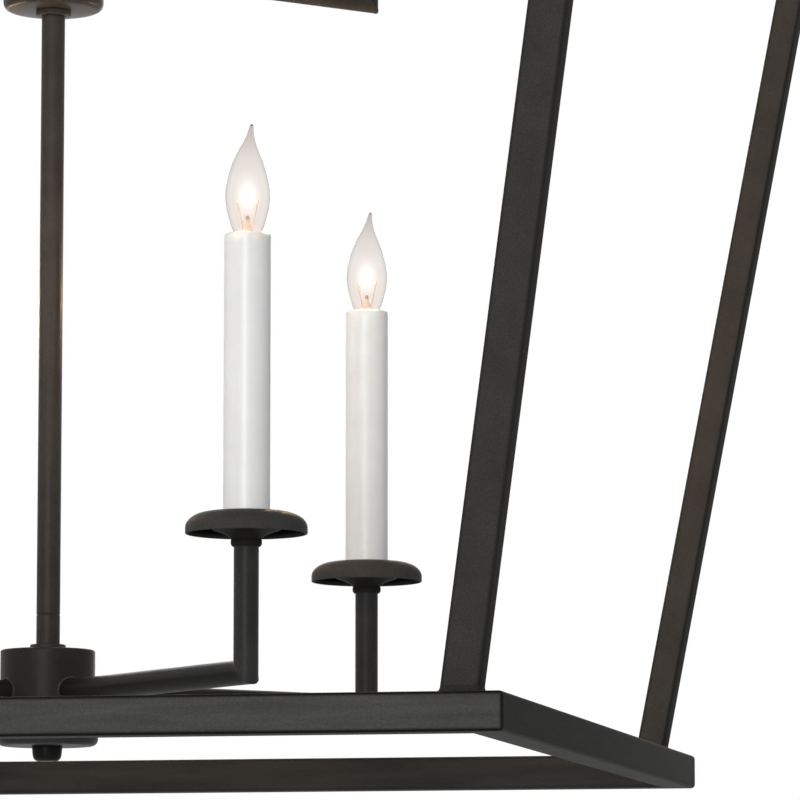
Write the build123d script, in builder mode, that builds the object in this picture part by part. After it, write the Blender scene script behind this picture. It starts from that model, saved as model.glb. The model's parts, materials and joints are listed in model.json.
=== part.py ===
from build123d import *
import os

# Open-cage lantern chandelier with eight candles on two tiers.
# Millimetres, +Z up, origin at the centre of the ceiling face, everything hangs below it.
# The front is -Y. Arms stand on the plan diagonals.

# Fits
RUNNING = 0.05          # radial clearance of a part that turns or slides in another
SEAT = 0.05             # gap at a welded, brazed or screwed seat
LINK_GAP = 0.3          # clearance between two hooked wires

# Ceiling fittings
canopy_radius = 70.0
canopy_depth = 26.0
canopy_rim = 4.0
canopy_flat_radius = 27.0
canopy_wall = 1.2
strap_length = 112.0
strap_width = 22.0
strap_thickness = 2.5
box_screw_spacing = 88.9
box_screw_hole = 2.4
ground_screw_offset = 24.0
ground_screw_radius = 2.0
screw_head_radius = 4.0
screw_head_height = 2.6
screw_head_edge = 1.2
screw_slot_width = 0.9
screw_slot_depth = 1.1
supply_nipple_radius = 6.6
supply_nipple_bore = 4.6
locknut_height = 4.0
locknut_wall = 4.2
loop_body_radius = 11.0
loop_body_above_canopy = 6.0
loop_body_below_canopy = 14.0
loop_thread_depth = 11.0
loop_bevel = 2.0
collar_radius = 17.0
collar_height = 6.5
collar_flutes = 28
flute_radius = 0.9

# Chain and loops
chain_wire = 3.0
link_inner_radius = 9.0
link_inner_length = 44.0
loop_sink = 2.0
hang_neck_radius = 9.5
hang_neck_height = 13.0
hang_neck_bevel = 2.0
hang_stud_depth = 20.0

# Cage
plate_side = 101.6
plate_thickness = 6.35
plate_corner = 3.0
rail_size = 19.05
rail_wall = 1.6
rail_edge = 2.4
corner_grind = 1.5
bottom_side = 609.6
shoulder_side = 863.6
leg_height = 762.0
leg_wide = 19.05
leg_narrow = 15.875
leg_wall = 1.6
leg_edge = 2.0
leg_inset = 14.3
foot_cap = 2.0
weld_size = 3.4
roof_rise = 254.0
roof_bar_foot_inset = 16.0
roof_bar_head = 32.0
roof_bar_spare = 60.0

# Stem, hubs and nipples
stem_radius = 6.35
stem_wall = 1.45
nipple_radius = 4.8
nipple_bore = 3.0
nipple_grip = 25.0
tier_spacing = 400.0
arm_axis_above_rail = 21.2
hub_radius = 25.4
hub_wall = 2.0
hub_top = 23.2
hub_bottom = 28.2
hub_edge = 1.0
cover_radius = 27.3
cover_wall = 1.5
cover_skirt = 15.0
cover_edge = 4.0
washer_radius = 9.6
washer_thickness = 3.0
washer_edge = 0.6
ring_radius = 9.6
ring_height = 3.2
ring_edge = 0.6
finial_radius = 8.2
finial_foot_radius = 7.4
finial_height = 8.0
finial_round = 3.6
finial_grip = 5.5
finial_well = 6.0
wire_nut_radius = 4.4
wire_nut_tip_radius = 2.6
wire_nut_height = 13.0
wire_nut_offset = 14.5
wire_nut_lift = 1.0

# Arms
arm_reach = 203.2
arm_tube_radius = 6.35
arm_tube_wall = 1.2
arm_entry = 17.0
riser_stub = 3.5
wire_radius = 1.6
wire_bend = 3.4
wire_start = 12.0
wire_end_depth = 1.0

# Drip pans and cups, heights above the arm's axis
pan_rim_height = 69.5
pan_radius = 30.9
pan_band = 3.0
pan_height = 11.0
pan_top_radius = 18.2
pan_wall = 1.2
cup_radius = 17.3
cup_lip = 2.0
cup_neck_radius = 7.9
cup_neck_top = 3.0
cup_neck_bottom = 4.6
cup_drop = 6.4
cup_flare_lean = 0.35

# Candles
sleeve_radius = 11.9
sleeve_wall = 1.5
sleeve_height = 141.5
sleeve_rim_round = 1.2
socket_radius = 9.8
socket_height = 36.0
socket_recess = 2.0
socket_well = 17.5
socket_bevel = 0.8
shell_wall = 0.65
shell_inset = 1.0
shell_length = 14.5
stand_radius = 5.05
stand_bore = 3.4
stand_in_riser = 8.0
stand_in_socket = 6.0

# Bulbs, heights above the sleeve's rim
base_radius = 5.95
base_lift = 0.3
base_shell_height = 12.5
contact_radius = 3.0
contact_height = 2.2
contact_top_radius = 4.95
glass_wall = 0.7
stem_press_radius = 2.5
stem_press_top_radius = 1.4
stem_press_height = 9.6
bead_radius = 1.3
support_wire = 0.3
support_spread = 5.3
support_top = 16.5
filament_radius = 0.45
filament_sag = 2.2
bulb_foot_radius = 6.0
bulb_rim_radius = 6.7
bulb_profile = [
    (7.5, 9.45, 0.0),
    (17.9, 11.5, 0.0),
    (28.1, 10.35, 0.0),
    (35.8, 8.16, 0.0),
    (41.9, 5.6, 0.2),
    (46.2, 3.5, 0.7),
    (51.1, 1.8, 1.3),
    (55.6, 1.0, 1.9),
]

# Places worked out from the sizes above
collar_seat = -canopy_depth
loop_body_top = collar_seat + loop_body_above_canopy
loop_body_bottom = collar_seat - loop_body_below_canopy
wire_centre_radius = link_inner_radius + chain_wire
hook_step = 2 * chain_wire + LINK_GAP
link_pitch = link_inner_length + 2 * chain_wire
canopy_loop_centre = loop_body_bottom - wire_centre_radius + loop_sink
canopy_pivot = canopy_loop_centre - wire_centre_radius
link_1_top = canopy_pivot + hook_step
link_1_pivot = link_1_top - link_pitch
link_2_top = link_1_pivot + hook_step
link_2_pivot = link_2_top - link_pitch
link_3_top = link_2_pivot + hook_step
link_3_pivot = link_3_top - link_pitch
hang_loop_centre = link_3_pivot + hook_step - wire_centre_radius
hang_neck_top = hang_loop_centre - wire_centre_radius + loop_sink
plate_top = hang_neck_top - hang_neck_height
plate_bottom = plate_top - plate_thickness
shoulder_top = plate_bottom - roof_rise
shoulder_bottom = shoulder_top - rail_size
rail_top = shoulder_bottom - leg_height
lower_axis = rail_top + arm_axis_above_rail
upper_axis = lower_axis + tier_spacing
hub_body_bottom = cover_wall - hub_bottom
lower_stem_bottom = lower_axis + hub_top + washer_thickness
lower_stem_top = upper_axis - hub_bottom - ring_height
upper_stem_bottom = upper_axis + hub_top + washer_thickness
nipple_hole = nipple_radius + SEAT
pan_top = pan_rim_height + pan_height
pan_inner_radius = pan_radius - pan_wall
pan_hole = arm_tube_radius + SEAT
sleeve_top = pan_top + sleeve_height
socket_top = sleeve_top - socket_recess
socket_bottom = socket_top - socket_height
shell_bore = base_radius + RUNNING
socket_bore = shell_bore + shell_wall + SEAT
base_top = socket_top + base_lift
tiers = [lower_axis, upper_axis]


def write_part(part, name):
    part.label = name
    export_step(part, f"parts/{name}.step")


def tier_places(reach=0.0):
    """Places on the diagonals of both tiers, lower tier first, each from the front right round."""
    places = []
    for axis_height in tiers:
        for turn in (-45, 45, 135, 225):
            places.append(Pos(0, 0, axis_height) * Rot(0, 0, turn) * Pos(reach, 0, 0))
    return places


def candle_points():
    """The eight candle centres, all facing the same way."""
    return [Pos(place.position) for place in tier_places(arm_reach)]


os.makedirs("parts", exist_ok=True)


# Ceiling canopy: a spun bowl, open towards the ceiling
with BuildPart() as canopy:
    with BuildSketch(Plane.XZ):
        with BuildLine():
            dome_centre = (canopy_flat_radius, -canopy_rim)
            dome_run = canopy_radius - canopy_flat_radius
            dome_drop = canopy_depth - canopy_rim
            inner_run = dome_run - canopy_wall
            hole_radius = loop_body_radius + SEAT
            inner_radius = canopy_radius - canopy_wall
            Line((hole_radius, -canopy_depth), (canopy_flat_radius, -canopy_depth))
            EllipticalCenterArc(dome_centre, dome_run, dome_drop, 270, arc_size=90)
            Line((canopy_radius, -canopy_rim), (canopy_radius, 0))
            Line((canopy_radius, 0), (inner_radius, 0))
            Line((inner_radius, 0), (inner_radius, -canopy_rim))
            EllipticalCenterArc(dome_centre, inner_run, dome_drop - canopy_wall, 270, arc_size=90)
            Line((canopy_flat_radius, canopy_wall - canopy_depth), (hole_radius, canopy_wall - canopy_depth))
            Line((hole_radius, canopy_wall - canopy_depth), (hole_radius, -canopy_depth))
        make_face()
    revolve(axis=Axis.Z)
write_part(canopy.part, "canopy")

# Mounting strap: flat bar across the ceiling box
with BuildPart() as mounting_strap:
    with BuildSketch(Plane.XY.offset(-strap_thickness)):
        SlotOverall(strap_length, strap_width)
        Circle(supply_nipple_radius + SEAT, mode=Mode.SUBTRACT)
        with GridLocations(box_screw_spacing, 0, 2, 1):
            Circle(box_screw_hole, mode=Mode.SUBTRACT)
        with Locations((ground_screw_offset, 0)):
            Circle(ground_screw_radius + SEAT, mode=Mode.SUBTRACT)
    extrude(amount=strap_thickness)
write_part(mounting_strap.part, "mounting_strap")

# Ground screw: pan head under the strap
with BuildPart() as ground_screw:
    with Locations((ground_screw_offset, 0, -strap_thickness)):
        Cylinder(screw_head_radius, screw_head_height, align=(Align.CENTER, Align.CENTER, Align.MAX))
    fillet(ground_screw.edges().group_by(Axis.Z)[0], screw_head_edge)
    with BuildSketch(Plane.XY.offset(-strap_thickness - screw_head_height)):
        with Locations((ground_screw_offset, 0)):
            Rectangle(2 * screw_head_radius, screw_slot_width)
    extrude(amount=screw_slot_depth, mode=Mode.SUBTRACT)
    with Locations((ground_screw_offset, 0, 0)):
        Cylinder(ground_screw_radius, strap_thickness, align=(Align.CENTER, Align.CENTER, Align.MAX))
write_part(ground_screw.part, "ground_screw")

# Threaded supply nipple from the strap into the loop's body
with BuildPart() as supply_nipple:
    with BuildSketch(Plane.XY.offset(loop_body_top - loop_thread_depth + SEAT)):
        Circle(supply_nipple_radius)
        Circle(supply_nipple_bore, mode=Mode.SUBTRACT)
    extrude(amount=loop_thread_depth - loop_body_top - SEAT)
write_part(supply_nipple.part, "supply_nipple")

# Locknut that holds the nipple to the strap
with BuildPart() as strap_locknut:
    with BuildSketch(Plane.XY.offset(-strap_thickness - locknut_height)):
        RegularPolygon(supply_nipple_radius + locknut_wall, 6)
        Circle(supply_nipple_radius + SEAT, mode=Mode.SUBTRACT)
    extrude(amount=locknut_height)
write_part(strap_locknut.part, "strap_locknut")

# Screw-collar loop: threaded body through the canopy, ring below it
with BuildPart() as canopy_loop:
    with Locations((0, 0, loop_body_top)):
        Cylinder(
            loop_body_radius,
            loop_body_top - loop_body_bottom,
            align=(Align.CENTER, Align.CENTER, Align.MAX),
        )
    chamfer(canopy_loop.edges().group_by(Axis.Z)[0], loop_bevel)
    with Locations((0, 0, canopy_loop_centre)):
        Torus(wire_centre_radius, chain_wire, rotation=(90, 0, 0))
    with BuildSketch(Plane.XY.offset(loop_body_top)):
        Circle(supply_nipple_radius + SEAT)
    extrude(amount=-loop_thread_depth, mode=Mode.SUBTRACT)
write_part(canopy_loop.part, "canopy_loop")

# Fluted ring that holds the canopy up against the ceiling
with BuildPart() as canopy_collar:
    with BuildSketch(Plane.XY.offset(collar_seat - 2 * SEAT)):
        Circle(collar_radius)
        with PolarLocations(collar_radius, collar_flutes):
            Circle(flute_radius, mode=Mode.SUBTRACT)
        Circle(loop_body_radius + RUNNING, mode=Mode.SUBTRACT)
    extrude(amount=-collar_height)
write_part(canopy_collar.part, "canopy_collar")


def chain_link(plane, top):
    """One stadium link of round wire in the given upright plane; top is its upper wire centre."""
    straight = link_inner_length - 2 * link_inner_radius
    middle = top - link_pitch / 2
    with BuildPart() as link:
        with BuildLine(plane) as route:
            Line((wire_centre_radius, middle - straight / 2), (wire_centre_radius, middle + straight / 2))
            CenterArc((0, middle + straight / 2), wire_centre_radius, 0, 180)
            Line((-wire_centre_radius, middle + straight / 2), (-wire_centre_radius, middle - straight / 2))
            CenterArc((0, middle - straight / 2), wire_centre_radius, 180, 180)
        first_side = route.edges()[0]
        with BuildSketch(Plane(origin=first_side @ 0, z_dir=first_side % 0)):
            Circle(chain_wire)
        sweep()
    return link.part


# Chain links, turned a quarter from one to the next
link_tops = [(Plane.YZ, link_1_top), (Plane.XZ, link_2_top), (Plane.YZ, link_3_top)]
for number, (link_plane, link_top) in enumerate(link_tops, start=1):
    write_part(chain_link(link_plane, link_top), f"chain_link_{number}")

# Hang loop on the lantern: ring, neck and stud into the stem
with BuildPart() as hang_loop:
    with Locations((0, 0, plate_top)):
        Cylinder(hang_neck_radius, hang_neck_height, align=(Align.CENTER, Align.CENTER, Align.MIN))
    chamfer(hang_loop.edges().group_by(Axis.Z)[-1], hang_neck_bevel)
    with Locations((0, 0, hang_loop_centre)):
        Torus(wire_centre_radius, chain_wire, rotation=(90, 0, 0))
    with Locations((0, 0, plate_top)):
        Cylinder(
            nipple_radius,
            plate_thickness + hang_stud_depth,
            align=(Align.CENTER, Align.CENTER, Align.MAX),
        )
write_part(hang_loop.part, "hang_loop")

# Top plate
with BuildPart() as top_plate:
    with BuildSketch(Plane.XY.offset(plate_bottom)):
        RectangleRounded(plate_side, plate_side, plate_corner)
        Circle(nipple_hole, mode=Mode.SUBTRACT)
    extrude(amount=plate_thickness)
write_part(top_plate.part, "top_plate")

# Roof bars: rectangular tube from the shoulder frame's corners up to the plate,
# drawn too long and cut at the frame, the plate and the frame's outline
foot_place = shoulder_side / 2 - roof_bar_foot_inset
foot_point = Vector(foot_place, -foot_place, shoulder_top)
head_point = Vector(roof_bar_head, -roof_bar_head, plate_bottom)
bar_direction = (head_point - foot_point).normalized()
bar_plane = Plane(origin=foot_point - bar_direction * roof_bar_spare, x_dir=(1, 1, 0), z_dir=bar_direction)
with BuildPart() as roof_bar:
    with BuildSketch(bar_plane):
        RectangleRounded(leg_wide, leg_narrow, leg_edge)
        Rectangle(leg_wide - 2 * leg_wall, leg_narrow - 2 * leg_wall, mode=Mode.SUBTRACT)
    extrude(amount=(head_point - foot_point).length + 2 * roof_bar_spare)
    split(bisect_by=Plane.XY.offset(shoulder_top), keep=Keep.TOP)
    split(bisect_by=Plane.XY.offset(plate_bottom), keep=Keep.BOTTOM)
    with BuildSketch(Plane.XY.offset(shoulder_top)) as frame_outline:
        Rectangle(shoulder_side, shoulder_side)
        chamfer(frame_outline.vertices(), corner_grind)
    extrude(amount=roof_rise, mode=Mode.INTERSECT)
with BuildPart() as roof_bars:
    with PolarLocations(0, 4):
        add(roof_bar.part)
write_part(roof_bars.part, "roof_bars")


def mitred_rails(side, top):
    """Four square tubes mitred into a frame, its outer corners ground flat."""
    half = side / 2
    with BuildPart() as rail:
        with BuildSketch(Plane.YZ.offset(-half)):
            with Locations((rail_size / 2 - half, top - rail_size / 2)):
                RectangleRounded(rail_size, rail_size, rail_edge)
                Rectangle(rail_size - 2 * rail_wall, rail_size - 2 * rail_wall, mode=Mode.SUBTRACT)
        extrude(amount=side)
        for direction in (1, -1):
            split(bisect_by=Plane(origin=(0, -SEAT, 0), z_dir=(direction, -1, 0)), keep=Keep.TOP)
            ground_edge = (direction * (half - corner_grind), -half, 0)
            split(bisect_by=Plane(origin=ground_edge, z_dir=(direction, -1, 0)), keep=Keep.BOTTOM)
    with BuildPart() as rails:
        with PolarLocations(0, 4):
            add(rail.part)
    return rails.part


write_part(mitred_rails(shoulder_side, shoulder_top), "shoulder_rails")
write_part(mitred_rails(bottom_side, rail_top), "bottom_rails")


def leg_centre(side):
    """Plan centre of the front right leg where it meets a frame of this side."""
    return (side / 2 - leg_inset - leg_wide / 2, leg_inset + leg_narrow / 2 - side / 2)


# Legs: the same leg turned by quarters, with a weld bead round the foot
lean = (shoulder_side - bottom_side) / 2 / leg_height
with BuildPart() as leg:
    with BuildSketch(Plane.XY.offset(rail_top)):
        with Locations(leg_centre(bottom_side)):
            RectangleRounded(leg_wide, leg_narrow, leg_edge)
    with BuildSketch(Plane.XY.offset(shoulder_bottom)):
        with Locations(leg_centre(shoulder_side)):
            RectangleRounded(leg_wide, leg_narrow, leg_edge)
    loft(ruled=True)
    foot_x, foot_y = leg_centre(bottom_side)
    with BuildSketch(Plane.XY.offset(rail_top + foot_cap)):
        with Locations((foot_x + lean * foot_cap, foot_y - lean * foot_cap)):
            Rectangle(leg_wide - 2 * leg_wall, leg_narrow - 2 * leg_wall)
    with BuildSketch(Plane.XY.offset(shoulder_bottom)):
        with Locations(leg_centre(shoulder_side)):
            Rectangle(leg_wide - 2 * leg_wall, leg_narrow - 2 * leg_wall)
    loft(ruled=True, mode=Mode.SUBTRACT)
with BuildPart() as weld_bead:
    with BuildSketch(Plane.XY.offset(rail_top)):
        with Locations((foot_x, foot_y)):
            RectangleRounded(leg_wide + 2 * weld_size, leg_narrow + 2 * weld_size, leg_edge + weld_size)
    with BuildSketch(Plane.XY.offset(rail_top + weld_size)):
        with Locations((foot_x + lean * weld_size, foot_y - lean * weld_size)):
            RectangleRounded(leg_wide, leg_narrow, leg_edge)
    loft(ruled=True)
    with BuildSketch(Plane.XY.offset(rail_top)):
        RectangleRounded(bottom_side - 2 * rail_edge, bottom_side - 2 * rail_edge, rail_edge)
        Rectangle(bottom_side - 2 * rail_size, bottom_side - 2 * rail_size, mode=Mode.SUBTRACT)
    extrude(amount=weld_size, mode=Mode.INTERSECT)
with BuildPart() as legs:
    with PolarLocations(0, 4):
        add(leg.part)
        add(weld_bead.part)
write_part(legs.part, "legs")


def stem_tube(bottom, top):
    with BuildPart() as tube:
        with BuildSketch(Plane.XY.offset(bottom)):
            Circle(stem_radius)
            Circle(stem_radius - stem_wall, mode=Mode.SUBTRACT)
        extrude(amount=top - bottom)
    return tube.part


write_part(stem_tube(upper_stem_bottom, plate_bottom), "upper_stem")
write_part(stem_tube(lower_stem_bottom, lower_stem_top), "lower_stem")


def hub_nipple(bottom, top):
    with BuildPart() as nipple:
        with BuildSketch(Plane.XY.offset(bottom)):
            Circle(nipple_radius)
            Circle(nipple_bore, mode=Mode.SUBTRACT)
        extrude(amount=top - bottom)
    return nipple.part


upper_nipple_bottom = lower_stem_top - nipple_grip
lower_nipple_bottom = lower_axis - hub_bottom - finial_grip
write_part(hub_nipple(upper_nipple_bottom, upper_stem_bottom + nipple_grip), "upper_nipple")
write_part(hub_nipple(lower_nipple_bottom, lower_stem_bottom + nipple_grip), "lower_nipple")


def hub_body(axis_height):
    """Round hub, closed above and open below, bored for four arms and the nipple."""
    with BuildPart() as hub:
        with BuildSketch(Plane.XY.offset(axis_height + hub_body_bottom)):
            Circle(hub_radius)
        extrude(amount=hub_top - hub_body_bottom)
        with BuildSketch(Plane.XY.offset(axis_height + hub_body_bottom)):
            Circle(hub_radius - hub_wall)
        extrude(amount=hub_top - hub_body_bottom - hub_wall, mode=Mode.SUBTRACT)
        fillet(hub.edges().group_by(Axis.Z)[-1], hub_edge)
        with Locations((0, 0, axis_height + hub_top)):
            Cylinder(nipple_hole, 4 * hub_wall, mode=Mode.SUBTRACT)
        with Locations((0, 0, axis_height)):
            with PolarLocations(hub_radius, 4, start_angle=45):
                Cylinder(arm_tube_radius + SEAT, 4 * hub_wall, rotation=(0, 90, 0), mode=Mode.SUBTRACT)
    return hub.part


def hub_cover(axis_height):
    """Cup-shaped cover round the hub's lower end."""
    with BuildPart() as cover:
        with BuildSketch(Plane.XY.offset(axis_height - hub_bottom)):
            Circle(cover_radius)
        extrude(amount=cover_skirt)
        fillet(cover.edges().group_by(Axis.Z)[0], cover_edge)
        with BuildSketch(Plane.XY.offset(axis_height + hub_body_bottom)):
            Circle(cover_radius - cover_wall)
        extrude(amount=cover_skirt - cover_wall, mode=Mode.SUBTRACT)
        with Locations((0, 0, axis_height - hub_bottom)):
            Cylinder(nipple_hole, 4 * cover_wall, mode=Mode.SUBTRACT)
    return cover.part


for tier, tier_axis in (("lower", lower_axis), ("upper", upper_axis)):
    write_part(hub_body(tier_axis), f"{tier}_hub")
    write_part(hub_cover(tier_axis), f"{tier}_hub_cover")

# Washers between each hub and the stem above it
with BuildPart() as stem_washers:
    for tier_axis in tiers:
        with BuildSketch(Plane.XY.offset(tier_axis + hub_top)):
            Circle(washer_radius)
            Circle(nipple_hole, mode=Mode.SUBTRACT)
        extrude(amount=washer_thickness)
    fillet(stem_washers.edges().filter_by(GeomType.CIRCLE).group_by(SortBy.RADIUS)[-1], washer_edge)
write_part(stem_washers.part, "stem_washers")

# Locknuts inside the hubs, under their tops
with BuildPart() as hub_locknuts:
    for tier_axis in tiers:
        with BuildSketch(Plane.XY.offset(tier_axis + hub_top - hub_wall)):
            RegularPolygon(nipple_radius + locknut_wall, 6)
            Circle(nipple_hole, mode=Mode.SUBTRACT)
        extrude(amount=-locknut_height)
write_part(hub_locknuts.part, "hub_locknuts")

# Ring under the upper hub, between its cover and the lower stem
with BuildPart() as hub_ring:
    with BuildSketch(Plane.XY.offset(lower_stem_top)):
        Circle(ring_radius)
        Circle(nipple_hole, mode=Mode.SUBTRACT)
    extrude(amount=ring_height)
    fillet(hub_ring.edges().filter_by(GeomType.CIRCLE).group_by(SortBy.RADIUS)[-1], ring_edge)
write_part(hub_ring.part, "hub_ring")

# Finial: low rounded cap nut on the nipple's lower end
finial_top = lower_axis - hub_bottom - 2 * SEAT
with BuildPart() as finial:
    with BuildSketch(Plane.XZ):
        with BuildLine():
            Polyline(
                (0, finial_top),
                (finial_radius, finial_top),
                (finial_foot_radius, finial_top - finial_height),
                (0, finial_top - finial_height),
                close=True,
            )
        make_face()
    revolve(axis=Axis.Z)
    fillet(finial.edges().group_by(Axis.Z)[0], finial_round)
    with BuildSketch(Plane.XY.offset(finial_top)):
        Circle(nipple_radius + RUNNING)
    extrude(amount=-finial_well, mode=Mode.SUBTRACT)
write_part(finial.part, "finial")

# Wire nuts beside the nipple in each hub
with BuildPart() as wire_nuts:
    for tier_axis in tiers:
        with Locations((0, 0, tier_axis + hub_body_bottom + wire_nut_lift)):
            with PolarLocations(wire_nut_offset, 2, start_angle=90):
                Cone(
                    wire_nut_radius,
                    wire_nut_tip_radius,
                    wire_nut_height,
                    align=(Align.CENTER, Align.CENTER, Align.MIN),
                )
write_part(wire_nuts.part, "wire_nuts")

# Arms: level tube, mitred elbow, riser through the drip pan
with BuildPart() as arm:
    with BuildLine():
        Polyline((arm_entry, 0, 0), (arm_reach, 0, 0), (arm_reach, 0, pan_top + riser_stub))
    with BuildSketch(Plane.YZ.offset(arm_entry)):
        Circle(arm_tube_radius)
        Circle(arm_tube_radius - arm_tube_wall, mode=Mode.SUBTRACT)
    sweep(transition=Transition.RIGHT)
with BuildPart() as arms:
    with Locations(tier_places()):
        add(arm.part)
write_part(arms.part, "arms")

# Wires from each hub to its sockets, one two-core cable to an arm
with BuildPart() as arm_wire:
    with BuildLine():
        FilletPolyline(
            (wire_start, 0, 0),
            (arm_reach, 0, 0),
            (arm_reach, 0, socket_bottom + stand_in_socket - wire_end_depth),
            radius=wire_bend,
        )
    with BuildSketch(Plane.YZ.offset(wire_start)):
        Circle(wire_radius)
    sweep()
with BuildPart() as arm_wires:
    with Locations(tier_places()):
        add(arm_wire.part)
write_part(arm_wires.part, "arm_wires")

# Drip pans: turned-down saucers
with BuildPart() as drip_pan:
    with BuildSketch(Plane.XZ):
        with BuildLine():
            shoulder_centre = (pan_top_radius, pan_rim_height + pan_band)
            shoulder_run = pan_radius - pan_top_radius
            shoulder_climb = pan_height - pan_band
            inner_run = shoulder_run - pan_wall
            Line((pan_hole, pan_top), (pan_top_radius, pan_top))
            EllipticalCenterArc(shoulder_centre, shoulder_run, shoulder_climb, 0, arc_size=90)
            Line((pan_radius, pan_rim_height + pan_band), (pan_radius, pan_rim_height))
            Line((pan_radius, pan_rim_height), (pan_inner_radius, pan_rim_height))
            Line((pan_inner_radius, pan_rim_height), (pan_inner_radius, pan_rim_height + pan_band))
            EllipticalCenterArc(shoulder_centre, inner_run, shoulder_climb - pan_wall, 0, arc_size=90)
            Line((pan_top_radius, pan_top - pan_wall), (pan_hole, pan_top - pan_wall))
            Line((pan_hole, pan_top - pan_wall), (pan_hole, pan_top))
        make_face()
    revolve(axis=Axis.Z)
with BuildPart() as drip_pans:
    with Locations(candle_points()):
        add(drip_pan.part)
write_part(drip_pans.part, "drip_pans")

# Candle cups: trumpet-shaped carriers under the pans
with BuildPart() as candle_cup:
    with BuildSketch(Plane.XZ):
        with BuildLine():
            cup_top = pan_top - pan_wall
            neck_top = (cup_neck_radius, pan_rim_height - cup_neck_top)
            lip_foot = (cup_radius, pan_rim_height + cup_lip)
            Line((pan_hole, cup_top), (pan_hole, pan_rim_height - cup_drop))
            Line((pan_hole, pan_rim_height - cup_drop), (cup_neck_radius, pan_rim_height - cup_neck_bottom))
            Line((cup_neck_radius, pan_rim_height - cup_neck_bottom), neck_top)
            TangentArc(neck_top, lip_foot, tangent=(cup_flare_lean, 1))
            Line(lip_foot, (cup_radius, cup_top))
            Line((cup_radius, cup_top), (pan_hole, cup_top))
        make_face()
    revolve(axis=Axis.Z)
with BuildPart() as candle_cups:
    with Locations(candle_points()):
        add(candle_cup.part)
write_part(candle_cups.part, "candle_cups")

# Socket stands: tubes from the risers up to the sockets
with BuildPart() as socket_stand:
    with BuildSketch(Plane.XY.offset(pan_top - stand_in_riser)):
        Circle(stand_radius)
        Circle(stand_bore, mode=Mode.SUBTRACT)
    extrude(amount=socket_bottom + stand_in_socket - pan_top + stand_in_riser)
with BuildPart() as socket_stands:
    with Locations(candle_points()):
        add(socket_stand.part)
write_part(socket_stands.part, "socket_stands")

# Candelabra sockets, bored above for the threaded shell and below for the stand
with BuildPart() as socket:
    with BuildSketch(Plane.XY.offset(socket_bottom)):
        Circle(socket_radius)
    extrude(amount=socket_height)
    chamfer(socket.edges().group_by(Axis.Z)[-1], socket_bevel)
    with BuildSketch(Plane.XY.offset(socket_top)):
        Circle(socket_bore)
    extrude(amount=-socket_well, mode=Mode.SUBTRACT)
    with BuildSketch(Plane.XY.offset(socket_bottom)):
        Circle(stand_radius + SEAT)
    extrude(amount=stand_in_socket, mode=Mode.SUBTRACT)
with BuildPart() as sockets:
    with Locations(candle_points()):
        add(socket.part)
write_part(sockets.part, "sockets")

# Threaded shells inside the sockets
with BuildPart() as socket_shell:
    with BuildSketch(Plane.XY.offset(socket_top - shell_inset)):
        Circle(shell_bore + shell_wall)
        Circle(shell_bore, mode=Mode.SUBTRACT)
    extrude(amount=-shell_length)
with BuildPart() as socket_shells:
    with Locations(candle_points()):
        add(socket_shell.part)
write_part(socket_shells.part, "socket_shells")

# Candle sleeve: open tube with a rounded upper rim
with BuildPart() as candle_sleeve:
    with BuildSketch(Plane.XY.offset(pan_top)):
        Circle(sleeve_radius)
        Circle(sleeve_radius - sleeve_wall, mode=Mode.SUBTRACT)
    extrude(amount=sleeve_height)
    fillet(candle_sleeve.edges().group_by(Axis.Z)[-1].sort_by(SortBy.RADIUS)[-1], sleeve_rim_round)

# Bulb base: threaded shell, contact, glass stem, support wires and filament
with BuildPart() as bulb_base:
    with Locations((0, 0, base_top)):
        Cylinder(base_radius, base_shell_height, align=(Align.CENTER, Align.CENTER, Align.MAX))
        Cone(
            stem_press_radius,
            stem_press_top_radius,
            stem_press_height,
            align=(Align.CENTER, Align.CENTER, Align.MIN),
        )
    with Locations((0, 0, base_top - base_shell_height)):
        Cone(
            contact_radius,
            contact_top_radius,
            contact_height,
            align=(Align.CENTER, Align.CENTER, Align.MAX),
        )
    with Locations((0, 0, base_top + stem_press_height)):
        Sphere(bead_radius)
    wire_foot = base_top + stem_press_height / 2
    wire_head = sleeve_top + support_top
    for direction in (1, -1):
        wire_run = Vector(direction * support_spread, 0, wire_head - wire_foot)
        with BuildSketch(Plane(origin=(0, 0, wire_foot), z_dir=wire_run)):
            Circle(support_wire)
        extrude(amount=wire_run.length)
    with BuildLine() as filament_line:
        ThreePointArc(
            (-support_spread, 0, wire_head - support_wire),
            (0, 0, wire_head + filament_sag),
            (support_spread, 0, wire_head - support_wire),
        )
    filament_start = filament_line.line @ 0
    with BuildSketch(Plane(origin=filament_start, z_dir=filament_line.line % 0)):
        Circle(filament_radius)
    sweep(path=filament_line.line)


def flame(inset, foot, profile):
    """Lofted flame shape through circles; each row is height, radius and sideways bend."""
    with BuildPart() as shape:
        with BuildSketch(Plane.XY.offset(foot)):
            Circle(bulb_foot_radius - inset)
        with BuildSketch(Plane.XY.offset(sleeve_top)):
            Circle(bulb_rim_radius - inset)
        for height, radius, bend in profile:
            with BuildSketch(Plane.XY.offset(sleeve_top + height)):
                with Locations((bend, 0)):
                    Circle(radius - inset)
        loft()
    return shape.part


# Bulb glass: hollow flame shape with a slightly bent tip
with BuildPart() as bulb_glass:
    add(flame(0.0, base_top, bulb_profile))
    add(flame(glass_wall, base_top, bulb_profile[:-1]), mode=Mode.SUBTRACT)

for number, point in enumerate(candle_points(), start=1):
    write_part(candle_sleeve.part.moved(point), f"candle_sleeve_{number}")
    write_part(bulb_base.part.moved(point), f"bulb_base_{number}")
    write_part(bulb_glass.part.moved(point), f"bulb_glass_{number}")
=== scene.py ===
import json
import math

import bmesh
import bpy
from mathutils import Euler, Matrix, Vector, noise

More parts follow.
